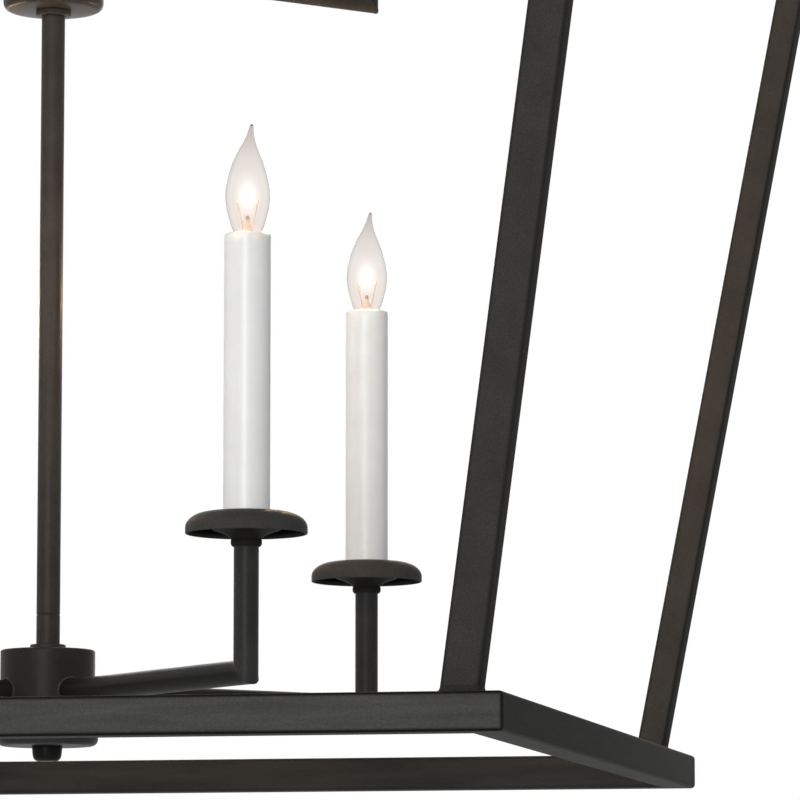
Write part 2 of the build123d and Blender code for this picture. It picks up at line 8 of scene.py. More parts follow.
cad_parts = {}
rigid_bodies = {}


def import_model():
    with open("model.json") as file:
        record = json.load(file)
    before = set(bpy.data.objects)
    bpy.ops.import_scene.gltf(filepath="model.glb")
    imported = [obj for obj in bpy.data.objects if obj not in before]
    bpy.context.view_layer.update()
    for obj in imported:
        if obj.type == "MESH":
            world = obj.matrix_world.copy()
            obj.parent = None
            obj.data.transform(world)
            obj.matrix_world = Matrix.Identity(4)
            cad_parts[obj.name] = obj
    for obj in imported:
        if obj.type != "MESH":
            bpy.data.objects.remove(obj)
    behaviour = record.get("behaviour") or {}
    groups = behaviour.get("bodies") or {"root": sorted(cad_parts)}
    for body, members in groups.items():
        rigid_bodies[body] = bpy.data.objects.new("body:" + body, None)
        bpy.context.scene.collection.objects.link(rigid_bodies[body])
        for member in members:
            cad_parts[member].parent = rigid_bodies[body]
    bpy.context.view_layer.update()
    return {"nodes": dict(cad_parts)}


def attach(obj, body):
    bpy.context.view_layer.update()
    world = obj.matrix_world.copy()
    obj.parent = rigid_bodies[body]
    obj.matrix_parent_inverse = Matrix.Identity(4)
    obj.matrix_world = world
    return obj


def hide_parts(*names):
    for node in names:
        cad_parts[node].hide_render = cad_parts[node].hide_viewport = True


# The looks of the open-cage lantern chandelier. Millimetres here, metres in Blender.
# Origin at the centre of the ceiling face, +Z up, the front is -Y.

MM = 0.001

# Levels below the ceiling
UPPER_AXIS = -842.0
LOWER_AXIS = -1242.0
SHOULDER_TOP = -482.15
RAIL_TOP = -1263.2
STEM_TOP = -228.15

# Frames and legs
RAIL_SIZE = 19.05
RAIL_EDGE = 2.4
CORNER_ROUND = 2.2
CORNER_STEPS = 5
BOTTOM_HALF = 304.8
SHOULDER_HALF = 431.8
LEG_WIDE = 19.05
LEG_NARROW = 15.875
LEG_INSET = 14.3
LEG_EDGE = 2.0
LEG_STEPS = 24
LEG_TOP = SHOULDER_TOP - RAIL_SIZE
LEAN = (SHOULDER_HALF - BOTTOM_HALF) / (LEG_TOP - RAIL_TOP)

# Welds
FOOT_WELD = 3.6
FOOT_WELD_STEP = 0.6
FOOT_WELD_OVERLAP = 1.6
HEAD_WELD = 1.7
HEAD_WELD_STEP = 0.45
HEAD_WELD_END = 1.0

# Stem, hubs, washers, ring and finial
STEM_RADIUS = 6.35
STEM_EDGE = 0.3
STEM_SEAM = 16.0
SEAM_DEPTH = 0.3
SEAM_HALF = 0.35
SEAM_FLOOR_HALF = 0.1
SEAM_ROUND = 0.15
HIDDEN_RADIUS = 5.0
HUB_RADIUS = 25.4
HUB_TOP = 23.2
HUB_BOTTOM = 28.2
HUB_EDGE = 1.4
COVER_RADIUS = 27.3
COVER_WALL = 1.5
COVER_SKIRT = 15.0
COVER_EDGE = 4.6
COVER_LAP = 9.0
RIM_RADIUS = 7.1
RIM_BEAD = 0.75
WASHER_RADIUS = 9.6
WASHER_HEIGHT = 3.0
RING_HEIGHT = 3.2
COLLAR_EDGE = 0.7
FINIAL_RADIUS = 8.2
FINIAL_DOME_RADIUS = 7.4
FINIAL_HEIGHT = 8.0
FINIAL_ROUND = 5.0
FINIAL_GAP = 0.1

# Arms
TURNS = (-45, 45, 135, 225)
ARM_REACH = 203.2
ARM_RADIUS = 6.35
ARM_ENTRY = 17.0
ARM_SIDES = 48
MITRE_HALF = 0.9
MITRE_SWELL = 0.14
MITRE_FLANK = 3.0
RISER_OVER_PAN = 3.5

# Pans and cups, with heights above the arm's axis
PAN_TOP = 80.5
PAN_RIM = 69.5
PAN_BEND = 72.5
PAN_RADIUS = 30.9
PAN_FLAT_RADIUS = 18.2
PAN_HOLE = 6.5
PAN_WALL = 1.2
PAN_SIDES = 96
CURVE_STEPS = 12
CUP_NECK_RADIUS = 7.7
CUP_NECK_TOP = 66.5
CUP_FLARE = 9.0
CUP_FLARE_RISE = 4.8
CUP_FLARE_BEND = 1.7
CUP_RISE_BEND = 0.9

# Candles, with heights above the arm's axis
CANDLE_NUMBERS = range(1, 9)
SLEEVE_TOP = 222.0
SLEEVE_RADIUS = 11.9
SLEEVE_BORE = 10.4
SLEEVE_FOOT = PAN_TOP + 0.05
BULB_SINK = 1.7
BULB_HEIGHT = 56.5
FILAMENT_HEIGHT = 19.0
CLOSED_RADIUS = 0.05
CAP_TOP = SLEEVE_TOP - BULB_SINK
CAP_RADIUS = 5.95
CAP_LENGTH = 12.5
THREAD_DEPTH = 0.45
THREAD_PITCH = 2.54
THREAD_STEPS = 8
WIRE_RADIUS = 0.3
COIL_HALF = 4.9
COIL_RADIUS = 0.5
COIL_TURNS = 30
COIL_STEPS = 600
COIL_RISE = 18.2
COIL_ARCH = 2.2
COIL_WIRE = 0.16

# How far a surface goes from its light tone, at 0, to its darkest tone, at 1; these marks are painted shade
# and painted light
# Rails: painted light underneath, painted shade on the side rails, the inner faces and the rounded edges
FRONT_SHADE = 0.36
SIDE_SHADE = 0.5
INNER_SHADE = 0.7
UNDER_SHADE = 0.0
SIDE_EDGE_LOSS = 0.75
# Painted shade on welds, lower hub, finial, lower arms, elbows, pan hollows and cups; upper hub and upper
# arms painted lighter as if lit by the bulbs below
WELD_SHADE = 0.8
HUB_SHADES = {"lower": 0.5, "upper": 0.1}
FINIAL_SHADE = 0.8
LOWER_ARM_SHADE = 0.85
UPPER_ARM_SHADE = 0.1
MITRE_SHADE = 0.8
RISER_SHADE = 0.0
PAN_SHADE = 0.0
PAN_INSIDE_SHADE = 1.0
CUP_SHADE = 0.7

# Floor and background, in metres
FLOOR_HEIGHT = -4.2
FLOOR_RADIUS = 60.0
FLOOR_GLOW = 0.42
WORLD_LIGHT = 0.26
WORLD_SEEN = 1.0

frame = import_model()


# Materials


def new_material(name):
    material = bpy.data.materials.new(name)
    material.use_nodes = True
    nodes = material.node_tree.nodes
    return material, nodes, material.node_tree.links, nodes["Principled BSDF"]


def set_inputs(node, values):
    """Gives inputs of a node, by name, their values."""
    for name, value in values.items():
        node.inputs[name].default_value = value


def noise_node(nodes, links, scale, detail=3.0, roughness=0.55, stretch=(1.0, 1.0, 1.0)):
    """A noise texture in the piece's own coordinates; scale is in cells a metre, stretch is for each axis."""
    place = nodes.new("ShaderNodeTexCoord")
    drawn = nodes.new("ShaderNodeMapping")
    set_inputs(drawn, {"Scale": stretch})
    texture = nodes.new("ShaderNodeTexNoise")
    set_inputs(texture, {"Scale": scale, "Detail": detail, "Roughness": roughness})
    links.new(place.outputs["Object"], drawn.inputs["Vector"])
    links.new(drawn.outputs["Vector"], texture.inputs["Vector"])
    return texture.outputs["Fac"]


def ramp(nodes, links, value, stops):
    """A colour ramp; each stop is a position and a colour."""
    node = nodes.new("ShaderNodeValToRGB")
    elements = node.color_ramp.elements
    while len(elements) < len(stops):
        elements.new(0.5)
    for element, (position, colour) in zip(elements, stops):
        element.position = position
        element.color = (*colour, 1.0)
    links.new(value, node.inputs["Fac"])
    return node.outputs["Color"]


def grey(value):
    return (value, value, value)


def mix(nodes, links, factor, first, second, blend="MIX"):
    """Mixes two colours; each of the three is a number, a colour or another node's output."""
    node = nodes.new("ShaderNodeMix")
    node.data_type = "RGBA"
    node.blend_type = blend
    for socket, source in ((node.inputs[0], factor), (node.inputs[6], first), (node.inputs[7], second)):
        if isinstance(source, float):
            socket.default_value = source
        elif isinstance(source, tuple):
            socket.default_value = (*source, 1.0)
        else:
            links.new(source, socket)
    return node.outputs[2]


def bump(nodes, links, height, strength, distance, normal=None):
    node = nodes.new("ShaderNodeBump")
    set_inputs(node, {"Strength": strength, "Distance": distance})
    links.new(height, node.inputs["Height"])
    if normal is not None:
        links.new(normal, node.inputs["Normal"])
    return node.outputs["Normal"]


def mark_value(nodes, mark):
    """The value that a piece's vertices carry under a name."""
    node = nodes.new("ShaderNodeAttribute")
    node.attribute_name = mark
    return node.outputs["Fac"]


def choose_surface(nodes, links, factor, first, second):
    """Shows the second shader where the factor is 1, and the first elsewhere."""
    choice = nodes.new("ShaderNodeMixShader")
    links.new(factor, choice.inputs["Fac"])
    links.new(first.outputs["BSDF"], choice.inputs[1])
    links.new(second.outputs["BSDF"], choice.inputs[2])
    links.new(choice.outputs["Shader"], nodes["Material Output"].inputs["Surface"])


def seen_rays(nodes, links):
    """1 where a surface is looked at, straight or in a reflection or through glass, and 0 for its light."""
    path = nodes.new("ShaderNodeLightPath")
    seen = path.outputs["Is Camera Ray"]
    for other in ("Is Glossy Ray", "Is Transmission Ray"):
        join = nodes.new("ShaderNodeMath")
        join.operation = "MAXIMUM"
        links.new(seen, join.inputs[0])
        links.new(path.outputs[other], join.inputs[1])
        seen = join.outputs[0]
    return seen


def black_coat(name, light, dark, painted_shade_tone, specular=0.02, sheen=(0.68, 0.78), stretch=(1.0, 1.0, 1.0)):
    """Black powder coat: orange-peel bump, fine speckle, cloudy tone; the shade mark paints shade, mixing it
    towards the painted shade tone.
    """
    material, nodes, links, shader = new_material(name)
    cloud = noise_node(nodes, links, 38.0, 4.0, 0.6, stretch)
    tone = ramp(nodes, links, cloud, [(0.3, dark), (0.7, light)])
    grain = noise_node(nodes, links, 1400.0, 2.0, 0.6)
    speckle = ramp(nodes, links, grain, [(0.35, grey(0.86)), (0.5, grey(1.0)), (0.72, grey(1.2))])
    colour = mix(nodes, links, 1.0, tone, speckle, "MULTIPLY")
    # Painted shade: the shade mark darkens the coat towards its painted shade tone
    links.new(mix(nodes, links, mark_value(nodes, "shade"), colour, painted_shade_tone), shader.inputs["Base Color"])
    links.new(ramp(nodes, links, cloud, [(0.25, grey(sheen[0])), (0.75, grey(sheen[1]))]),
              shader.inputs["Roughness"])
    set_inputs(shader, {"Specular IOR Level": specular})
    peel = noise_node(nodes, links, 620.0, 2.0, 0.5)
    rough = bump(nodes, links, peel, 0.14, 0.0004)
    links.new(bump(nodes, links, grain, 0.08, 0.0002, rough), shader.inputs["Normal"])
    return material


def plated(name, light, dark, roughness, scratches=900.0):
    """Plated or pressed metal with fine scratches."""
    material, nodes, links, shader = new_material(name)
    streak = noise_node(nodes, links, scratches, 5.0, 0.7)
    links.new(ramp(nodes, links, streak, [(0.3, dark), (0.7, light)]), shader.inputs["Base Color"])
    links.new(ramp(nodes, links, streak, [(0.3, grey(roughness * 0.8)), (0.7, grey(roughness * 1.3))]),
              shader.inputs["Roughness"])
    set_inputs(shader, {"Metallic": 1.0})
    links.new(bump(nodes, links, streak, 0.1, 0.0002), shader.inputs["Normal"])
    return material


def moulded(name, light, dark, roughness, grain=700.0):
    """Moulded plastic or phenolic with a fine grain."""
    material, nodes, links, shader = new_material(name)
    cloud = noise_node(nodes, links, grain, 3.0, 0.6)
    links.new(ramp(nodes, links, cloud, [(0.3, dark), (0.7, light)]), shader.inputs["Base Color"])
    set_inputs(shader, {"Roughness": roughness})
    links.new(bump(nodes, links, cloud, 0.1, 0.0002), shader.inputs["Normal"])
    return material


def candle_white():
    """Glossy white tube with a faint cloud in its tone and a faint wave in its coat."""
    material, nodes, links, shader = new_material("sleeve_white")
    cloud = noise_node(nodes, links, 55.0, 3.0, 0.5)
    tone = ramp(nodes, links, cloud, [(0.3, (0.83, 0.83, 0.815)), (0.7, (0.88, 0.88, 0.87))])
    links.new(tone, shader.inputs["Base Color"])
    set_inputs(shader, {"Roughness": 0.4, "Specular IOR Level": 0.4, "Subsurface Weight": 0.12,
                        "Subsurface Radius": (1.0, 0.7, 0.5), "Subsurface Scale": 0.002, "Coat Weight": 0.12,
                        "Coat Roughness": 0.12})
    wave = noise_node(nodes, links, 90.0, 2.0, 0.5)
    links.new(bump(nodes, links, wave, 0.05, 0.0006), shader.inputs["Normal"])
    return material


def clear_glass():
    """Thin clear bulb glass, greyer at its tip; its warm tint, its light round the filament and its grey
    outline are painted light and shade.
    """
    material, nodes, links, shader = new_material("bulb_glass")
    facing = nodes.new("ShaderNodeLayerWeight")
    set_inputs(facing, {"Blend": 0.5})
    # Painted shade: the glass greys towards its outline by the way it faces; its warm tint paints the
    # filament's light
    outline = ramp(nodes, links, facing.outputs["Facing"],
                   [(0.0, (0.86, 0.80, 0.76)), (0.35, (0.85, 0.795, 0.755)), (0.6, (0.72, 0.69, 0.67)),
                    (0.8, (0.36, 0.36, 0.36))])
    rise = mark_value(nodes, "rise")
    upward = ramp(nodes, links, rise,
                  [(0.0, (1.0, 0.97, 0.94)), (0.5, grey(1.0)), (0.72, grey(0.88)), (1.0, grey(0.6))])
    links.new(mix(nodes, links, 1.0, outline, upward, "MULTIPLY"), shader.inputs["Base Color"])
    set_inputs(shader, {"Transmission Weight": 1.0, "IOR": 1.04, "Coat Weight": 0.06, "Coat Roughness": 0.05,
                        "Emission Strength": 0.2})
    streak = noise_node(nodes, links, 120.0, 2.0, 0.5)
    links.new(ramp(nodes, links, streak, [(0.3, grey(0.035)), (0.8, grey(0.06))]), shader.inputs["Roughness"])
    # Painted light: the glass itself emits round the filament's height, most where it faces straight on
    glow_height = ramp(nodes, links, rise,
                       [(0.14, grey(0.0)), (0.25, grey(0.5)), (0.32, grey(1.0)), (0.38, grey(1.0)),
                        (0.46, grey(0.5)), (0.6, grey(0.0))])
    glow_middle = ramp(nodes, links, facing.outputs["Facing"],
                       [(0.0, grey(1.0)), (0.03, grey(0.8)), (0.09, grey(0.35)), (0.22, grey(0.0))])
    painted_glow = mix(nodes, links, 1.0, glow_height, glow_middle, "MULTIPLY")
    links.new(mix(nodes, links, 1.0, painted_glow, (1.0, 0.97, 0.92), "MULTIPLY"), shader.inputs["Emission Color"])
    path = nodes.new("ShaderNodeLightPath")
    clear = nodes.new("ShaderNodeBsdfTransparent")
    set_inputs(clear, {"Color": (0.95, 0.93, 0.9, 1.0)})
    choose_surface(nodes, links, path.outputs["Is Shadow Ray"], shader, clear)
    return material


def glowing(name, colour, strength):
    """A hot wire that gives its own light, a little uneven."""
    material, nodes, links, shader = new_material(name)
    flicker = noise_node(nodes, links, 2500.0, 1.0, 0.5)
    links.new(ramp(nodes, links, flicker, [(0.2, colour), (0.8, (1.0, 0.9, 0.75))]),
              shader.inputs["Emission Color"])
    set_inputs(shader, {"Base Color": (*colour, 1.0), "Emission Strength": strength})
    return material


# Copies of one black coat, each toned to paint the light falling on its parts: rails brightest, then pans,
# legs and the other ironwork
rail_coat_painted_light = black_coat("rail_coat_painted_light", (0.112, 0.111, 0.108), (0.076, 0.075, 0.073), (0.006, 0.0055, 0.005),
                       stretch=(0.35, 0.35, 4.0))
leg_coat_painted_light = black_coat("leg_coat_painted_light", (0.047, 0.0455, 0.0435), (0.035, 0.034, 0.032), (0.026, 0.025, 0.023))
pan_coat_painted_light = black_coat("pan_coat_painted_light", (0.056, 0.055, 0.053), (0.043, 0.042, 0.040), (0.004, 0.0035, 0.003),
                      sheen=(0.44, 0.56))
iron = black_coat("black_iron", (0.034, 0.0333, 0.0325), (0.024, 0.0235, 0.023), (0.005, 0.0047, 0.0043),
                  specular=0.06, sheen=(0.34, 0.44))
zinc = plated("zinc_steel", (0.62, 0.62, 0.6), (0.42, 0.42, 0.41), 0.38)
green = plated("green_screw", (0.08, 0.4, 0.16), (0.04, 0.24, 0.09), 0.4)
brass = plated("shell_brass", (0.78, 0.6, 0.3), (0.55, 0.4, 0.18), 0.3)
cap_metal = plated("bulb_cap", (0.75, 0.66, 0.46), (0.55, 0.47, 0.3), 0.28)
socket_black = moulded("socket_plastic", (0.035, 0.035, 0.035), (0.02, 0.02, 0.02), 0.45)
nut_plastic = moulded("wire_nut_plastic", (0.8, 0.32, 0.08), (0.62, 0.22, 0.05), 0.5)
insulation = moulded("wire_insulation", (0.82, 0.8, 0.74), (0.7, 0.68, 0.62), 0.55)
white = candle_white()
glass = clear_glass()
filament = glowing("filament_glow", (1.0, 0.78, 0.5), 1.1)
seal = moulded("tip_seal", (0.40, 0.37, 0.34), (0.28, 0.26, 0.24), 0.35)
# Painted light: warm tones on the glass stem and support wires stand in for the filament's light, which is
# linked away from them
stem_glass_painted_warm = moulded("stem_press", (0.80, 0.66, 0.56), (0.62, 0.46, 0.35), 0.2)
wire_metal_painted_warm = moulded("support_wire", (0.72, 0.56, 0.46), (0.58, 0.42, 0.33), 0.35)


def dress(nodes, material):
    """Gives CAD nodes a better material."""
    for name in nodes:
        slots = frame["nodes"][name].data.materials
        for index in range(len(slots)):
            slots[index] = material


dress(["canopy", "canopy_loop", "canopy_collar", "chain_link_1", "chain_link_2", "chain_link_3", "hang_loop",
       "top_plate", "roof_bars", "upper_stem", "lower_stem", "lower_hub", "upper_hub", "lower_hub_cover",
       "upper_hub_cover", "stem_washers", "hub_ring", "finial", "arms", "drip_pans", "candle_cups"], iron)
dress(["shoulder_rails", "bottom_rails"], rail_coat_painted_light)
dress(["legs"], leg_coat_painted_light)
dress(["mounting_strap", "supply_nipple", "strap_locknut", "upper_nipple", "lower_nipple", "hub_locknuts",
       "socket_stands"], zinc)
dress(["ground_screw"], green)
dress(["wire_nuts"], nut_plastic)
dress(["arm_wires"], insulation)
dress(["sockets"], socket_black)
dress(["socket_shells"], brass)
for number in CANDLE_NUMBERS:
    dress([f"candle_sleeve_{number}"], white)
    dress([f"bulb_base_{number}"], cap_metal)
    dress([f"bulb_glass_{number}"], glass)


# Mesh building; a shape is a pair of lists, its vertices and its faces


def add_piece(name, vertices, faces, material, body, replaces=(), slot="black_iron", marks=None, sharp=32.0):
    """A mesh piece in millimetres that rides on a body; marks holds named values, one for each vertex."""
    mesh = bpy.data.meshes.new(name)
    mesh.from_pydata([Vector(v) * MM for v in vertices], [], faces)
    for mark, values in (marks or {}).items():
        mesh.attributes.new(mark, "FLOAT", "POINT").data.foreach_set("value", values)
    work = bmesh.new()
    work.from_mesh(mesh)
    bmesh.ops.remove_doubles(work, verts=work.verts, dist=1e-6)
    bmesh.ops.recalc_face_normals(work, faces=work.faces)
    for face in work.faces:
        face.smooth = True
    for line in work.edges:
        line.smooth = len(line.link_faces) == 2 and line.calc_face_angle(0.0) < math.radians(sharp)
    work.to_mesh(mesh)
    work.free()
    mesh.materials.append(material)
    piece = bpy.data.objects.new(name, mesh)
    bpy.context.collection.objects.link(piece)
    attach(piece, body)
    if replaces:
        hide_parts(*replaces)
    return piece


def turn_by(degrees):
    """A turn about the upright axis."""
    return Matrix.Rotation(math.radians(degrees), 3, "Z")


def moved(shape, offset):
    """A shape at another place."""
    vertices, faces = shape
    return [tuple(Vector(v) + Vector(offset)) for v in vertices], faces


def join_shapes(shapes):
    """Joins several shapes into one."""
    vertices, faces = [], []
    for some_vertices, some_faces in shapes:
        start = len(vertices)
        vertices += some_vertices
        faces += [tuple(index + start for index in face) for face in some_faces]
    return vertices, faces


def even_shade(shape, value):
    """The same shade for every vertex of a shape."""
    return {"shade": [value] * len(shape[0])}


def ring_faces(rings, size, closed=False):
    """Faces between rings of points; closed joins the last ring to the first."""
    faces = []
    for ring in range(rings if closed else rings - 1):
        following = (ring + 1) % rings
        for index in range(size):
            side = (index + 1) % size
            faces.append((ring * size + index, ring * size + side,
                          following * size + side, following * size + index))
    return faces


def end_face(ring, size):
    """One face that fills a ring of points."""
    return tuple(ring * size + index for index in range(size))


def softened(profile, closed=False):
    """Rounds the corners of a profile; each point is radius, height and how far the rounding reaches."""
    count = len(profile)
    points = []
    for index, (radius, height, reach) in enumerate(profile):
        here = Vector((radius, height))
        if reach == 0 or (not closed and index in (0, count - 1)):
            points.append((radius, height))
            continue
        before = Vector(profile[index - 1][:2])
        after = Vector(profile[(index + 1) % count][:2])
        start = here + (before - here).normalized() * min(reach, (before - here).length * 0.45)
        end = here + (after - here).normalized() * min(reach, (after - here).length * 0.45)
        for step in range(6):
            t = step / 5
            point = start * (1 - t) ** 2 + here * 2 * t * (1 - t) + end * t ** 2
            points.append((point.x, point.y))
    return points


def lathe(points, segments=72, closed=False, bends=None):
    """Turns (radius, height) points round the Z axis; bends shifts each ring sideways along X."""
    vertices = []
    bends = bends or [0.0] * len(points)
    for (radius, height), bend in zip(points, bends):
        for index in range(segments):
            angle = 2 * math.pi * index / segments
            vertices.append((radius * math.cos(angle) + bend, radius * math.sin(angle), height))
    return vertices, ring_faces(len(points), segments, closed)


def turned(profile, lift=0.0, segments=72, closed=False):
    """Turns a profile of radius, height and rounding round the Z axis, lifted to its place."""
    points = [(radius, lift + height) for radius, height in softened(profile, closed)]
    return lathe(points, segments, closed)


def round_rod(path, radius, segments=12, closed=False, ripple=None):
    """A rod along points, with rings turned smoothly; ripple scales the radius at each point."""
    vertices = []
    count = len(path)
    points = [Vector(p) for p in path]
    normal = None
    for index, point in enumerate(points):
        if closed:
            along = (points[(index + 1) % count] - points[index - 1]).normalized()
        else:
            along = (points[min(index + 1, count - 1)] - points[max(index - 1, 0)]).normalized()
        if normal is None:
            normal = along.orthogonal().normalized()
        normal = (normal - along * normal.dot(along)).normalized()
        across = along.cross(normal)
        size = radius if ripple is None else radius * ripple[index]
        for step in range(segments):
            angle = 2 * math.pi * step / segments
            vertices.append(tuple(point + (normal * math.cos(angle) + across * math.sin(angle)) * size))
    faces = ring_faces(count, segments, closed)
    if not closed:
        faces.append(end_face(0, segments))
        faces.append(end_face(count - 1, segments))
    return vertices, faces


def weld_ripple(index, seed, swing, pace, rough, grain):
    """How much wider or narrower a weld is at a step along it."""
    uneven = noise.noise(Vector((index * grain, seed, 0.0)))
    return 1.0 + swing * math.sin(index * pace + seed) + rough * uneven


def weld_bead(corners, radius, seed):
    """A rippled weld bead along straight runs between corners."""
    path = []
    for start, end in zip(corners, corners[1:]):
        start, end = Vector(start), Vector(end)
        steps = max(2, int((end - start).length / HEAD_WELD_STEP))
        path += [start.lerp(end, step / steps) for step in range(steps)]
    path.append(Vector(corners[-1]))
    ripple = [weld_ripple(index, seed, 0.10, 1.35, 0.12, 0.13) for index in range(len(path))]
    return round_rod(path, radius, 10, ripple=ripple)


def fillet_weld(run, size, rise, seed):
    """A hollow-faced fillet weld along (point, outward direction) pairs; rise is its upright direction."""
    stations = []
    for (start, start_out), (end, end_out) in zip(run, run[1:]):
        steps = max(1, int((end - start).length / FOOT_WELD_STEP))
        for step in range(steps):
            share = step / steps
            stations.append((start.lerp(end, share), start_out.lerp(end_out, share)))
    stations.append(run[-1])
    section = [(-0.5, -0.4), (1.0, -0.4)]
    for step in range(9):
        angle = math.radians(90 * step / 8)
        section.append((1 - math.sin(angle), 1 - math.cos(angle)))
    section.append((-0.5, 1.0))
    vertices = []
    last = len(stations) - 1
    for index, (point, out) in enumerate(stations):
        taper = min(1.0, 0.35 + 0.2 * min(index, last - index))
        wave = weld_ripple(index, seed, 0.05, 1.1, 0.08, 0.2)
        for outward, height in section:
            vertices.append(tuple(point + out.normalized() * outward * size * taper * wave
                                  + rise * height * size * taper * wave))
    count = len(section)
    return vertices, ring_faces(len(stations), count) + [end_face(0, count), end_face(last, count)]


def rounded_section(low, high, radius, steps=6):
    """Points round a rounded rectangle with how far each is up its rounding, 0 on the flats."""
    points = []
    centres = ((high[0], high[1], 0), (low[0], high[1], 90), (low[0], low[1], 180), (high[0], low[1], 270))
    for x, y, first in centres:
        centre_x = x - math.copysign(radius, x - (low[0] + high[0]) / 2)
        centre_y = y - math.copysign(radius, y - (low[1] + high[1]) / 2)
        for step in range(steps + 1):
            angle = math.radians(first + 90 * step / steps)
            share = math.sin(math.pi * step / steps)
            points.append((centre_x + radius * math.cos(angle), centre_y + radius * math.sin(angle), share))
    return points


def threaded_cap(low, high, segments=48):
    """A bulb cap with a rounded screw thread that fades out at both ends."""
    vertices = []
    rings = int((high - low) / THREAD_PITCH * THREAD_STEPS)
    for ring in range(rings + 1):
        height = low + (high - low) * ring / rings
        fade = min(1.0, (height - low) / THREAD_PITCH, (high - height) / THREAD_PITCH)
        for index in range(segments):
            share = index / segments
            wave = 0.5 - 0.5 * math.cos(2 * math.pi * (height / THREAD_PITCH - share))
            size = CAP_RADIUS - THREAD_DEPTH * (wave * fade + (1 - fade))
            angle = 2 * math.pi * share
            vertices.append((size * math.cos(angle), size * math.sin(angle), height))
    return vertices, ring_faces(rings + 1, segments) + [end_face(0, segments), end_face(rings, segments)]


# Frames of square tube


def frame_piece(name, half, top, node):
    """Four tubes welded and ground into one frame; each face has its own painted shade and the edges are
    painted darker.
    """
    section = rounded_section((0.0, -RAIL_SIZE), (RAIL_SIZE, 0.0), RAIL_EDGE)
    vertices, shades = [], []
    for corner in range(4):
        turn = turn_by(90 * corner)
        for step in range(CORNER_STEPS + 1):
            angle = math.radians(-90 + 90 * step / CORNER_STEPS)
            side_share = step / CORNER_STEPS if corner % 2 == 0 else 1 - step / CORNER_STEPS
            edge_strength = 1.0 - SIDE_EDGE_LOSS * side_share
            outer_shade = FRONT_SHADE + (SIDE_SHADE - FRONT_SHADE) * side_share
            for depth, height, share in section:
                # Painted light and shade: the underside lightest, front and top darker, sides and inner faces
                # darker still
                nearest = min((depth, outer_shade), (RAIL_SIZE - depth, INNER_SHADE), (-height, FRONT_SHADE),
                              (RAIL_SIZE + height, UNDER_SHADE))
                share = max(share * edge_strength, nearest[1])
                if depth < CORNER_ROUND:
                    centre = half - CORNER_ROUND
                    radius = CORNER_ROUND - depth
                    x = centre + radius * math.cos(angle)
                    y = -centre + radius * math.sin(angle)
                    # Painted shade on the rounded corner edges
                    share = max(share, math.sin(math.pi * step / CORNER_STEPS))
                else:
                    x = half - depth
                    y = depth - half
                vertices.append(tuple(turn @ Vector((x, y, top + height))))
                shades.append(share)
    faces = ring_faces(4 * (CORNER_STEPS + 1), len(section), True)
    return add_piece(name, vertices, faces, rail_coat_painted_light, "lantern", [node], marks={"shade": shades}, sharp=50.0)


frame_piece("bottom_frame", BOTTOM_HALF, RAIL_TOP, "bottom_rails")
frame_piece("shoulder_frame", SHOULDER_HALF, SHOULDER_TOP, "shoulder_rails")

# Legs, with painted shade darkening their rounded edges
foot_x = BOTTOM_HALF - LEG_INSET - LEG_WIDE / 2
foot_y = LEG_INSET + LEG_NARROW / 2 - BOTTOM_HALF
half_wide, half_narrow = LEG_WIDE / 2, LEG_NARROW / 2
leg_section = rounded_section((-half_wide, -half_narrow), (half_wide, half_narrow), LEG_EDGE)
leg_levels = [RAIL_TOP + (LEG_TOP - RAIL_TOP) * step / LEG_STEPS for step in range(LEG_STEPS + 1)]
legs, leg_shades = [], []
for corner in range(4):
    turn = turn_by(90 * corner)
    vertices = []
    for level in leg_levels:
        shift = LEAN * (level - RAIL_TOP)
        for x, y, share in leg_section:
            vertices.append(tuple(turn @ Vector((foot_x + shift + x, foot_y - shift + y, level))))
            leg_shades.append(share)
    legs.append((vertices, ring_faces(len(leg_levels), len(leg_section)) + [end_face(0, len(leg_section))]))
leg_mesh = join_shapes(legs)
add_piece("leg_tubes", *leg_mesh, leg_coat_painted_light, "lantern", ["legs"], marks={"shade": leg_shades}, sharp=50.0)

# Welds at the feet and heads of the legs, darkened with painted shade
left, right = foot_x - half_wide, foot_x + half_wide
front, back = foot_y - half_narrow, foot_y + half_narrow
foot_inner = BOTTOM_HALF - RAIL_SIZE + FOOT_WELD_OVERLAP
head_inner = SHOULDER_HALF - RAIL_SIZE
foot_run = [(Vector((left, -foot_inner, RAIL_TOP)), Vector((-1, 0, 0)))]
for centre_x, centre_y, first in ((left + LEG_EDGE, front + LEG_EDGE, 180),
                                  (right - LEG_EDGE, front + LEG_EDGE, 270),
                                  (right - LEG_EDGE, back - LEG_EDGE, 0)):
    for step in range(5):
        angle = math.radians(first + 90 * step / 4)
        out = Vector((math.cos(angle), math.sin(angle), 0))
        foot_run.append((Vector((centre_x, centre_y, RAIL_TOP)) + out * LEG_EDGE, out))
foot_run.append((Vector((foot_inner, back, RAIL_TOP)), Vector((0, 1, 0))))
spread = SHOULDER_HALF - BOTTOM_HALF
head_run = [(left + spread, HEAD_WELD_END - head_inner, LEG_TOP), (left + spread, front - spread, LEG_TOP),
            (right + spread, front - spread, LEG_TOP), (right + spread, back - spread, LEG_TOP),
            (head_inner + HEAD_WELD_END, back - spread, LEG_TOP)]
welds = []
for corner in range(4):
    turn = turn_by(90 * corner)
    run = [(turn @ point, turn @ out) for point, out in foot_run]
    welds.append(fillet_weld(run, FOOT_WELD, turn @ Vector((LEAN, -LEAN, 1)), corner * 3.0))
    run = [tuple(turn @ Vector(point)) for point in head_run]
    welds.append(weld_bead(run, HEAD_WELD, corner * 5.0 + 1.0))
weld_mesh = join_shapes(welds)
add_piece("leg_welds", *weld_mesh, leg_coat_painted_light, "lantern", marks=even_shade(weld_mesh, WELD_SHADE), sharp=60.0)

